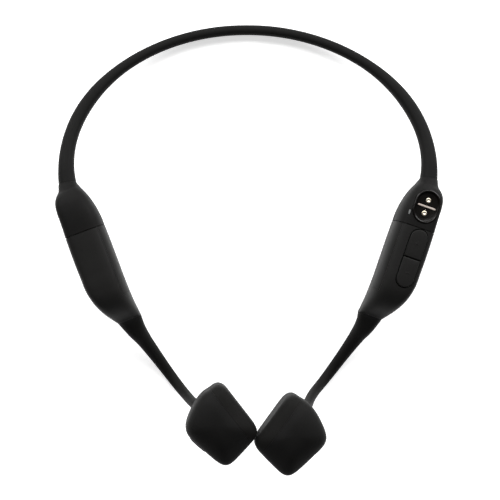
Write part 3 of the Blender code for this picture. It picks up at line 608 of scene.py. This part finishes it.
MATERIALS = {
    "silicone": moulded(
        "band_silicone", (0.0047, 0.0046, 0.0044), (0.0069, 0.0067, 0.0065),
        rough=(0.56, 0.7), grain=5200.0, grain_depth=0.02, specular=0.09, sheen=0.02,
    ),
    "cap_silicone": moulded(
        "cap_silicone", (0.0048, 0.0046, 0.0044), (0.0068, 0.0066, 0.0063),
        rough=(0.54, 0.68), grain=5200.0, grain_depth=0.02, specular=0.09, sheen=0.02,
    ),
    "hook_silicone": moulded(
        "hook_silicone", (0.0053, 0.0051, 0.0049), (0.0076, 0.0073, 0.007),
        rough=(0.56, 0.7), grain=5200.0, grain_depth=0.02, specular=0.07, sheen=0.02,
    ),
    "contact_silicone": moulded(
        "contact_silicone", (0.0048, 0.0046, 0.0042), (0.007, 0.0067, 0.0062),
        rough=(0.58, 0.72), grain=5200.0, grain_depth=0.02, specular=0.085, sheen=0.015,
    ),
    "soft_plastic": moulded(
        "pod_soft_plastic", (0.0082, 0.008, 0.0076), (0.0113, 0.011, 0.0106),
        rough=(0.46, 0.6), grain=6500.0, grain_depth=0.012, specular=0.12, sheen=0.02,
    ),
    "button_plastic": moulded(
        "button_soft_plastic", (0.0084, 0.0082, 0.0078), (0.0117, 0.0114, 0.0109),
        rough=(0.46, 0.58), grain=7000.0, grain_depth=0.01, specular=0.12, sheen=0.02,
    ),
    "cover_plastic": moulded(
        "cover_satin_plastic", (0.0086, 0.0084, 0.008), (0.0118, 0.0115, 0.011),
        rough=(0.48, 0.6), grain=6000.0, grain_depth=0.015, specular=0.09, sheen=0.02,
    ),
    "gloss_black": moulded(
        "port_gloss_black", (0.0016, 0.0014, 0.0012), (0.0042, 0.0034, 0.0029),
        rough=(0.14, 0.3), grain=900.0, grain_depth=0.002, specular=0.22, coat=0.06,
    ),
    "port_rib": moulded(
        "port_rib_satin", (0.34, 0.28, 0.245), (0.46, 0.4, 0.36),
        rough=(0.24, 0.38), grain=3000.0, grain_depth=0.006, specular=0.5,
    ),
    "gold_plate": metal(
        "contact_gold", (0.88, 0.76, 0.56), (0.99, 0.93, 0.82),
        rough=(0.22, 0.36), scale=4200.0,
    ),
    "titanium_wire": metal(
        "drawn_titanium", (0.42, 0.41, 0.4), (0.56, 0.55, 0.53),
        rough=(0.25, 0.42), scale=5200.0, brushed=(1.0, 1.0, 0.1),
    ),
    "copper_coil": metal(
        "copper_winding", (0.6, 0.28, 0.14), (0.78, 0.42, 0.24),
        rough=(0.22, 0.4), scale=6200.0, brushed=(0.15, 1.0, 1.0),
    ),
    "steel": metal(
        "stamped_steel", (0.46, 0.47, 0.49), (0.62, 0.63, 0.65),
        rough=(0.22, 0.4), scale=3600.0, brushed=(0.2, 1.0, 1.0),
    ),
    "nickel": metal(
        "bright_nickel", (0.58, 0.57, 0.54), (0.72, 0.71, 0.68),
        rough=(0.14, 0.3), scale=3000.0,
    ),
    "circuit_board": moulded(
        "solder_mask_green", (0.008, 0.09, 0.04), (0.014, 0.13, 0.06),
        rough=(0.3, 0.45), grain=3500.0, grain_depth=0.01, specular=0.5,
    ),
    "battery_foil": metal(
        "laminate_foil", (0.52, 0.53, 0.55), (0.66, 0.67, 0.69),
        rough=(0.3, 0.46), scale=1800.0,
    ),
    "cable_jacket": moulded(
        "cable_jacket", (0.04, 0.04, 0.045), (0.055, 0.055, 0.06),
        rough=(0.4, 0.55), grain=4200.0, grain_depth=0.012, specular=0.45,
    ),
    "light_lens": moulded(
        "milky_lens", (0.16, 0.165, 0.165), (0.24, 0.245, 0.245),
        rough=(0.2, 0.34), grain=2500.0, grain_depth=0.004, specular=0.4, coat=0.2,
    ),
    "ceramic": moulded(
        "fired_ceramic", (0.66, 0.6, 0.5), (0.8, 0.75, 0.66),
        rough=(0.35, 0.55), grain=3000.0, grain_depth=0.01, specular=0.5,
    ),
    "nylon": moulded(
        "moulded_nylon", (0.075, 0.075, 0.08), (0.1, 0.1, 0.105),
        rough=(0.38, 0.52), grain=3500.0, grain_depth=0.012, specular=0.5,
    ),
}


# ---------------------------------------------------------------- neckband

def build_neckband(side):
    name = SIDE_NAMES[side]
    angles = np.linspace(0.0, BAND_END_ANGLE, BAND_RINGS)
    rings = [band_ring(angle, 0.0, BAND_POINTS, PARTING_LINE) for angle in angles]
    end_way = unit(band_point(BAND_END_ANGLE) - band_point(BAND_END_ANGLE - 1))
    rings += lip_rings(rings[-1], end_way, BAND_END_LIP)
    points, faces = skin(rings)
    sleeve = make_object(f"{name}_neckband_skin", points, faces, side, MATERIALS["silicone"])
    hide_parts("neckband_sleeve_center", f"neckband_sleeve_{name}")
    start, end = (settled(band_point(angle), side)[0] * MM for angle in FLEX_ANGLES)
    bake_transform(sleeve)


# ---------------------------------------------------------------- pods

def build_cap(side):
    name = SIDE_NAMES[side]
    keys = [pod_ring(row) for row in CAP_ROWS]
    neck = BAND_END_ANGLE + NECK_OVERHANG
    keys.append(band_ring(neck, NECK_GROW, POD_POINTS))
    rings = refine(keys, POD_RING_STEP)
    start = lip_rings(rings[0], -POD_ALONG * LIP_DEPTH_SHARE, LIP)[::-1]
    tangent = unit(band_point(neck - 1) - band_point(neck))
    end = lip_rings(rings[-1], tangent, NECK_LIP)
    points, faces = skin(start + rings + end)
    cap = make_object(f"{name}_cap_skin", points, faces, side, MATERIALS["cap_silicone"])
    if side == RIGHT:
        cut_port_pocket(cap)
    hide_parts(f"{name}_band_cap")
    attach(cap, f"{name}_side")


def build_pod(side):
    name = SIDE_NAMES[side]
    rings = refine([pod_ring(row) for row in POD_ROWS], POD_RING_STEP)
    start = lip_rings(rings[0], POD_ALONG * LIP_DEPTH_SHARE, LIP)[::-1]
    points, faces = skin(start + rings)
    shell = make_object(f"{name}_pod_skin", points, faces, side, MATERIALS["soft_plastic"])
    cover = make_object(f"{name}_cover_skin", points, faces, side, MATERIALS["cover_plastic"])
    size = (10.0, SEAM_S + 1.0 - COVER_NOSE_S, 40.0)
    middle = (COVER_EDGE_L - 5.0, (SEAM_S + 1.0 + COVER_NOSE_S) / 2, POD_MID_Z)
    seat = aligned(pod_point(*middle), POD_ACROSS, POD_ALONG, UP)
    grown = tuple(extent + 2 * COVER_GAP for extent in size)
    boolean(shell, block("tool", grown, seat, side))
    boolean(cover, block("tool", size, seat, side), "INTERSECT")
    if side == RIGHT:
        seat = pod_matrix(PILL_L, PILL_S, 0.0)
        hole = [
            stadium(PILL_HALF_W + PILL_GAP + flare, PILL_HALF_LENGTH + PILL_GAP + flare, z)
            for z, flare in PILL_HOLE_FLARE
        ]
        boolean(shell, prism("tool", hole, seat, side, None))
    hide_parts(f"{name}_pod_shell")
    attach(shell, f"{name}_side")
    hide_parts(f"{name}_pod_inner_cover")
    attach(cover, f"{name}_side")


# ---------------------------------------------------------------- hooks

def end_samples(obj, end, along):
    """Corner normals of a skin, its side corners near a pod's end, and a tree of those on the end ring."""
    mesh = obj.data
    normals = np.empty(len(mesh.loops) * 3, np.float32)
    mesh.corner_normals.foreach_get("vector", normals)
    normals = normals.reshape(-1, 3)
    near = []
    for face in mesh.polygons:
        if abs(face.normal.dot(along)) > END_FACE_SLOPE:
            continue
        for corner in face.loop_indices:
            place = mesh.vertices[mesh.loops[corner].vertex_index].co
            away = abs((place - end).dot(along)) / MM
            if away < SHADE_REACH and (place - end).length < ROOT_REACH * MM:
                near.append((corner, away, place))
    rim = [item for item in near if item[1] < SHADE_RIM]
    tree = KDTree(len(rim))
    for corner, _, place in rim:
        tree.insert(place, corner)
    tree.balance()
    return normals, near, tree


def share_normals(shell, hook, side):
    """Carry the shading smoothly over the line where the pod ends and the hook starts."""
    root = pod_point(HOOK_ROOT_L, POD_ROWS[-1][0], HOOK_ROOT_Z)
    end = Vector(settled(root, side)[0] * MM)
    along = Vector((POD_ALONG[0] * side, POD_ALONG[1], POD_ALONG[2]))
    both = [end_samples(obj, end, along) for obj in (shell, hook)]
    for obj, own, other in ((shell, both[0], both[1]), (hook, both[1], both[0])):
        normals, near, tree = own
        changed = np.zeros_like(normals)
        for corner, away, place in near:
            own_end = normals[tree.find(place)[1]]
            other_end = other[0][other[2].find(place)[1]]
            middle = unit(own_end + other_end)
            weight = (1.0 - away / SHADE_REACH) ** 2
            changed[corner] = unit(normals[corner] + weight * (middle - own_end))
        obj.data.normals_split_custom_set(changed.tolist())


def build_hook(side):
    name = SIDE_NAMES[side]
    table = HOOK_SPINES[side]
    spine = [np.array(point) for point, _ in table]
    keys = []
    for k, (point, half) in enumerate(table):
        if k == 0:
            across, up = cross_axes(-POD_ALONG)
            point = pod_point(HOOK_ROOT_L, POD_ROWS[-1][0] - HOOK_MEET_GAP, HOOK_ROOT_Z)
        else:
            ahead = spine[min(k + 1, len(spine) - 1)]
            across, up = cross_axes(unit(ahead - spine[k - 1]))
        rounding = HOOK_ROUNDINGS[min(k, 2)]
        keys.append(ring(np.array(point), across, up, section(half, half, rounding, HOOK_POINTS)))
    points, faces = skin(refine(keys, HOOK_RING_STEP))
    hook = make_object(f"{name}_hook_skin", points, faces, side, MATERIALS["hook_silicone"])
    share_normals(bpy.data.objects[f"{name}_pod_skin"], hook, side)
    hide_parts(f"{name}_hook_sleeve")
    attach(hook, f"{name}_side")


# ---------------------------------------------------------------- transducers

def side_level(points):
    """How far out points lie between the block's axis, 0, and its side planes, 1."""
    total = sum(
        np.maximum(0.0, points[:, :2] @ np.array(n) / c) ** TRANS_ROUNDING for n, c in TRANS_PLANES
    )
    return total ** (1.0 / TRANS_ROUNDING)


def transducer_points(directions):
    """Surface point of the transducer block in each direction (u, d, z)."""
    side = side_level(directions)
    height = np.abs(directions[:, 2]) / TRANS_HALF_H
    local = directions * ((side ** TRANS_DOME + height ** TRANS_DOME) ** (-1.0 / TRANS_DOME))[:, None]
    level = side_level(local)
    steep = np.abs(local[:, 2] / TRANS_HALF_H) ** 3 * (1.0 - CROWN_LEAN * local[:, 0] / CROWN_REACH)
    local[:, 2] -= np.sign(local[:, 2]) * CROWN_DROP * level ** CROWN_POWER * steep
    away = local[:, 1] - TRANS_SEAM
    fade_start, fade_end = VALLEY_FADE
    fade = np.clip((local[:, 0] - fade_start) / (fade_end - fade_start), 0.0, 1.0)
    share = VALLEY_LEAST + (1.0 - VALLEY_LEAST) * fade
    valley = VALLEY_DEPTH * share * np.exp(-(away / VALLEY_WIDTH) ** 2)
    flat = np.stack([local[:, 0], np.zeros(len(local)), local[:, 2]], axis=1)
    reach = np.maximum(np.linalg.norm(flat, axis=1, keepdims=True), 1e-6)
    local = local - flat / reach * valley[:, None] * np.minimum(1.0, reach / VALLEY_MIDDLE)
    local[:, 1] = np.maximum(local[:, 1], TRANS_FACE)
    return local


def cube_sphere(grid):
    """Directions and quads of a cube divided into grid x grid squares a side."""
    line = np.tan(np.linspace(-np.pi / 4, np.pi / 4, grid + 1))
    index = {}
    directions, faces = [], []

    def corner(vector):
        key = tuple(np.round(vector, 6))
        if key not in index:
            index[key] = len(directions)
            directions.append(vector)
        return index[key]

    for axis in range(3):
        for sign in (1.0, -1.0):
            for i in range(grid):
                for j in range(grid):
                    quad = []
                    for a, b in ((i, j), (i + 1, j), (i + 1, j + 1), (i, j + 1)):
                        vector = np.empty(3)
                        vector[axis] = sign
                        vector[(axis + 1) % 3] = line[a]
                        vector[(axis + 2) % 3] = line[b]
                        quad.append(corner(vector))
                    faces.append(quad if sign > 0 else quad[::-1])
    return np.array(directions), faces


def trans_world(local):
    return TRANS_CENTER + local[:, :1] * TRANS_U + local[:, 1:2] * TRANS_D + local[:, 2:] * UP


def outer_face_matrix(height):
    normal = unit(TRANS_U * OUTER_FACE_NORMAL[0] + TRANS_D * OUTER_FACE_NORMAL[1])
    return aligned(TRANS_CENTER + UP * height, np.cross(UP, normal), UP, normal)


def build_transducer(side, directions, quads):
    name = SIDE_NAMES[side]
    points = trans_world(transducer_points(directions))
    housing = make_object(f"{name}_housing_skin", points, quads, side, MATERIALS["silicone"])
    contact = make_object(f"{name}_contact_skin", points, quads, side, MATERIALS["contact_silicone"])
    for obj, level, away in (
        (housing, TRANS_SEAM + SEAM_HALF_GAP, -1.0),
        (contact, TRANS_SEAM - SEAM_HALF_GAP, 1.0),
    ):
        place = settled(TRANS_CENTER + TRANS_D * level, side)[0] * MM
        normal = Vector((TRANS_D[0] * side, TRANS_D[1], TRANS_D[2])) * away
        bm = bmesh.new()
        bm.from_mesh(obj.data)
        cut = bmesh.ops.bisect_plane(
            bm, geom=bm.verts[:] + bm.edges[:] + bm.faces[:], plane_co=Vector(place),
            plane_no=normal, clear_outer=True,
        )
        rim = [item for item in cut["geom_cut"] if isinstance(item, bmesh.types.BMEdge)]
        bmesh.ops.holes_fill(bm, edges=rim, sides=0)
        bmesh.ops.recalc_face_normals(bm, faces=bm.faces)
        bm.to_mesh(obj.data)
        bm.free()
        obj.data.shade_smooth()
        obj.data.set_sharp_from_angle(angle=SHARP_ANGLE)
    if side == LEFT:
        face = outer_face_matrix(0.0)
        half_w, half_length = MULTI_HALF_W + PILL_GAP, MULTI_HALF_LENGTH + PILL_GAP
        hole = [stadium(half_w, half_length, z) for z in (MULTI_HOLE_FLOOR, HOLE_TOP)]
        boolean(housing, prism("tool", hole, face, side, None))
    else:
        face = outer_face_matrix(MIC_HEIGHT)
        hole = [circle(MIC_HOLE_RADIUS, z, 32) for z in (MIC_HOLE_FLOOR, HOLE_TOP)]
        boolean(housing, prism("tool", hole, face, side, None))
    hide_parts(f"{name}_transducer_housing")
    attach(housing, f"{name}_side")
    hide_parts(f"{name}_contact_shell")
    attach(contact, f"{name}_side")


# ---------------------------------------------------------------- buttons

def button_outlines(half_w, half_length, low, top, start=None, end=None, edge=0.35, dome=0.12):
    """Pill prism with a rounded top edge and a slight crown."""
    outlines = [stadium(half_w, half_length, low, start, end)]
    steps = 6
    for k in range(steps + 1):
        turn = math.pi / 2 * k / steps
        inset = edge * (1 - math.cos(turn))
        level = top - dome - edge + edge * math.sin(turn)
        cut_start = None if start is None else start + inset
        cut_end = None if end is None else end - inset
        outlines.append(stadium(half_w - inset, half_length - inset, level, cut_start, cut_end))
    rim = outlines[-1]
    middle = np.array((0.0, rim[:, 1].mean(), 0.0))
    for share in (0.75, 0.5, 0.25):
        inner = middle + (rim - middle) * np.array((share, 1 - (1 - share) * 0.6, 1.0))
        inner[:, 2] = top - dome * share ** 2
        outlines.append(inner)
    return outlines


def raised_mark(matrix, turn):
    """Small raised bar with a softened top."""
    spin = matrix @ Matrix.Rotation(turn, 4, "Z")
    level = BUTTON_TOP - MARK_SINK
    half_w, half_length = MARK_WIDTH / 2, MARK_LENGTH / 2
    outlines = [
        stadium(half_w, half_length, level - 0.1, arc=8),
        stadium(half_w, half_length, level + MARK_HEIGHT * 0.6, arc=8),
        stadium(half_w - 0.06, half_length - 0.06, level + MARK_HEIGHT, arc=8),
    ]
    return prism("mark", outlines, spin, RIGHT, MATERIALS["button_plastic"])


def build_buttons():
    half_gap = PILL_SPLIT_GAP / 2
    seat = pod_matrix(PILL_L + PILL_DRIFT, PILL_S + PILL_DRIFT, 0.0)
    for name, start, end, turns, mark_s in (
        ("volume_up", half_gap, None, (0.0, math.pi / 2), MARK_OFFSET),
        ("volume_down", None, -half_gap, (math.pi / 2,), -MARK_OFFSET),
    ):
        outlines = button_outlines(PILL_HALF_W, PILL_HALF_LENGTH, BUTTON_LOW, BUTTON_TOP, start, end)
        body = prism("body", outlines, seat, RIGHT, MATERIALS["button_plastic"])
        mark_seat = seat @ Matrix.Translation((0.0, mark_s, 0.0))
        marks = [raised_mark(mark_seat, turn) for turn in turns]
        button = join(f"{name}_button_skin", [body] + marks)
        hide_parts(f"{name}_button")
        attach(button, name)
    outlines = button_outlines(MULTI_HALF_W, MULTI_HALF_LENGTH, MULTI_LOW, MULTI_TOP, dome=MULTI_DOME)
    button = prism(
        "multifunction_button_skin", outlines, outer_face_matrix(0.0), LEFT, MATERIALS["button_plastic"]
    )
    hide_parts("multifunction_button")
    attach(button, "multifunction")


# ---------------------------------------------------------------- charging port

def port_matrix():
    return pod_matrix(PORT_L, PORT_S, PORT_TOP_Z) @ Matrix.Rotation(-PORT_TILT, 4, "X")


def cut_port_pocket(cap):
    port = port_matrix()
    pocket = [
        stadium(PORT_HALF_W + PORT_GAP, PORT_HALF_LENGTH + PORT_GAP, z)
        for z in (-PORT_THICKNESS + 0.3, 6.0)
    ]
    boolean(cap, prism("tool", pocket, port, RIGHT, None))
    lamp = pod_matrix(LED_L, LED_S, 0.0)
    hole = [stadium(0.3, 0.85, z) for z in (LED_HOLE_LOW, LED_HOLE_TOP)]
    boolean(cap, prism("tool", hole, lamp, RIGHT, None))


def build_port():
    port = port_matrix()
    profile = (
        (0.0, -PORT_THICKNESS), (0.0, -0.25), (0.06, -0.08), (0.2, 0.0), (0.42, 0.0),
        (0.58, -0.08), (PORT_RIM, -0.25), (PORT_RIM + 0.12, -PORT_FLOOR + 0.2),
        (PORT_RIM + 0.22, -PORT_FLOOR + 0.05), (PORT_RIM + 0.4, -PORT_FLOOR),
    )
    outlines = [
        stadium(PORT_HALF_W - inset, PORT_HALF_LENGTH - inset, z) for inset, z in profile
    ]
    insert = prism("insert", outlines, port, RIGHT, MATERIALS["gloss_black"])
    pieces = [insert]
    for offset in (PIN_PITCH / 2, -PIN_PITCH / 2):
        seat = port @ Matrix.Translation((0.0, offset, 0.0))
        hole = [circle(PIN_RADIUS + PIN_GAP, z) for z in (-1.6, 1.0)]
        boolean(insert, prism("tool", hole, seat, RIGHT, None))
        for radius in RIDGE_RADII:
            ridge = [circle(radius + out, up - PORT_FLOOR) for out, up in RIDGE_OUTLINE]
            points, faces = skin([to_frame(seat, r) for r in ridge + ridge[:1]], closed_ends=False)
            pieces.append(make_object("ridge", points, faces, RIGHT, MATERIALS["gloss_black"]))
    bar_seat = port @ Matrix.Rotation(math.pi / 2, 4, "Z")
    bar = [
        stadium(BAR_HALF_W - inset, BAR_HALF_LENGTH - inset, up - PORT_FLOOR, arc=8)
        for inset, up in ((0.0, -0.05), (0.0, 0.3), (0.08, 0.4), (0.24, 0.43))
    ]
    pieces.append(prism("bar", bar, bar_seat, RIGHT, MATERIALS["port_rib"]))
    insert = join("charging_port_skin", pieces)
    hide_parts("charging_port_insert")
    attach(insert, "right_side")
    for number, offset in ((1, PIN_PITCH / 2), (2, -PIN_PITCH / 2)):
        seat = port @ Matrix.Translation((0.0, offset, 0.0))
        top = -PORT_FLOOR - PIN_SINK
        edge = ((0.0, PIN_LENGTH), (0.0, 0.12), (0.05, 0.03), (0.14, 0.0))
        pin = [circle(PIN_RADIUS - inset, top - depth) for inset, depth in edge]
        pin += [circle(radius, top - depth) for radius, depth in ((0.34, 0.0), (0.26, 0.05), (0.16, 0.12))]
        contact = prism(f"charging_contact_{number}_skin", pin, seat, RIGHT, MATERIALS["gold_plate"])
        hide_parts(f"charging_contact_{number}")
        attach(contact, "right_side")
    lamp = pod_matrix(LED_L, LED_S, 0.0)
    lens = [
        stadium(LED_HALF_W, LED_HALF_LENGTH, LED_LOW, arc=10),
        stadium(LED_HALF_W, LED_HALF_LENGTH, LED_TOP - 0.1, arc=10),
        stadium(LED_HALF_W - 0.06, LED_HALF_LENGTH - 0.08, LED_TOP - 0.02, arc=10),
        stadium(LED_HALF_W - 0.16, LED_HALF_LENGTH - 0.3, LED_TOP, arc=10),
    ]
    light = prism("status_light_skin", lens, lamp, RIGHT, MATERIALS["light_lens"])
    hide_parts("status_light_lens")
    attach(light, "right_side")


# ---------------------------------------------------------------- carried-over nodes

def dress_frame():
    """Give every CAD node that is still shown the material of its slot."""
    slots = {entry["node"]: entry["material_slot"] for entry in frame["record"]["subparts"]}
    for node, obj in frame["nodes"].items():
        obj.data.materials.clear()
        obj.data.materials.append(MATERIALS[slots[node]])


# ---------------------------------------------------------------- studio

def area_light(name, place, size, power):
    """Soft rectangle that shines at the origin."""
    light = bpy.data.lights.new(name, "AREA")
    light.shape = "RECTANGLE"
    light.size, light.size_y = size
    light.energy = power
    obj = bpy.data.objects.new(name, light)
    obj.location = place
    obj.rotation_euler = (-Vector(place)).to_track_quat("-Z", "Y").to_euler()
    bpy.context.scene.collection.objects.link(obj)


def build_camera(scene):
    camera = bpy.data.cameras.new("camera")
    camera.lens = CAMERA_LENS
    camera.sensor_width = SENSOR
    camera.clip_start, camera.clip_end = 0.01, 20.0
    obj = bpy.data.objects.new("camera", camera)
    ahead = (CAMERA_TARGET - CAMERA_PLACE).normalized()
    hint = Vector((math.sin(CAMERA_ROLL), math.cos(CAMERA_ROLL), 0.0))
    right = ahead.cross(hint).normalized()
    up = right.cross(ahead)
    obj.matrix_world = Matrix((right, up, -ahead)).transposed().to_4x4()
    obj.location = CAMERA_PLACE
    scene.collection.objects.link(obj)
    scene.camera = obj


def build_floor(scene):
    """Pale sheet that glows a little, so that it stays white round the object."""
    bm = bmesh.new()
    bmesh.ops.create_grid(bm, x_segments=2, y_segments=2, size=FLOOR_HALF)
    mesh = bpy.data.meshes.new("floor")
    bm.to_mesh(mesh)
    bm.free()
    floor = bpy.data.objects.new("floor", mesh)
    floor.location = (0.0, 0.0, -FLOOR_SINK)
    scene.collection.objects.link(floor)
    material, _, _, shader = new_material("pale_floor")
    shader.inputs["Base Color"].default_value = (0.9, 0.9, 0.9, 1.0)
    shader.inputs["Emission Color"].default_value = (1.0, 1.0, 1.0, 1.0)
    shader.inputs["Emission Strength"].default_value = FLOOR_GLOW
    shader.inputs["Roughness"].default_value = 0.9
    shader.inputs["Specular IOR Level"].default_value = 0.1
    mesh.materials.append(material)


def build_studio():
    scene = bpy.context.scene
    scene.view_settings.view_transform = "Standard"
    build_camera(scene)
    build_floor(scene)
    world = bpy.data.worlds.new("studio")
    world.use_nodes = True
    backdrop = world.node_tree.nodes["Background"]
    backdrop.inputs["Color"].default_value = (1.0, 1.0, 1.0, 1.0)
    backdrop.inputs["Strength"].default_value = WORLD_LIGHT
    scene.world = world
    for light in LIGHTS:
        area_light(*light)


# ---------------------------------------------------------------- assembly

dress_frame()
grid_directions, grid_quads = cube_sphere(TRANS_GRID)
for hand in (RIGHT, LEFT):
    build_neckband(hand)
    build_cap(hand)
    build_pod(hand)
    build_hook(hand)
    build_transducer(hand, grid_directions, grid_quads)
build_buttons()
build_port()
build_studio()

bpy.context.view_layer.update()
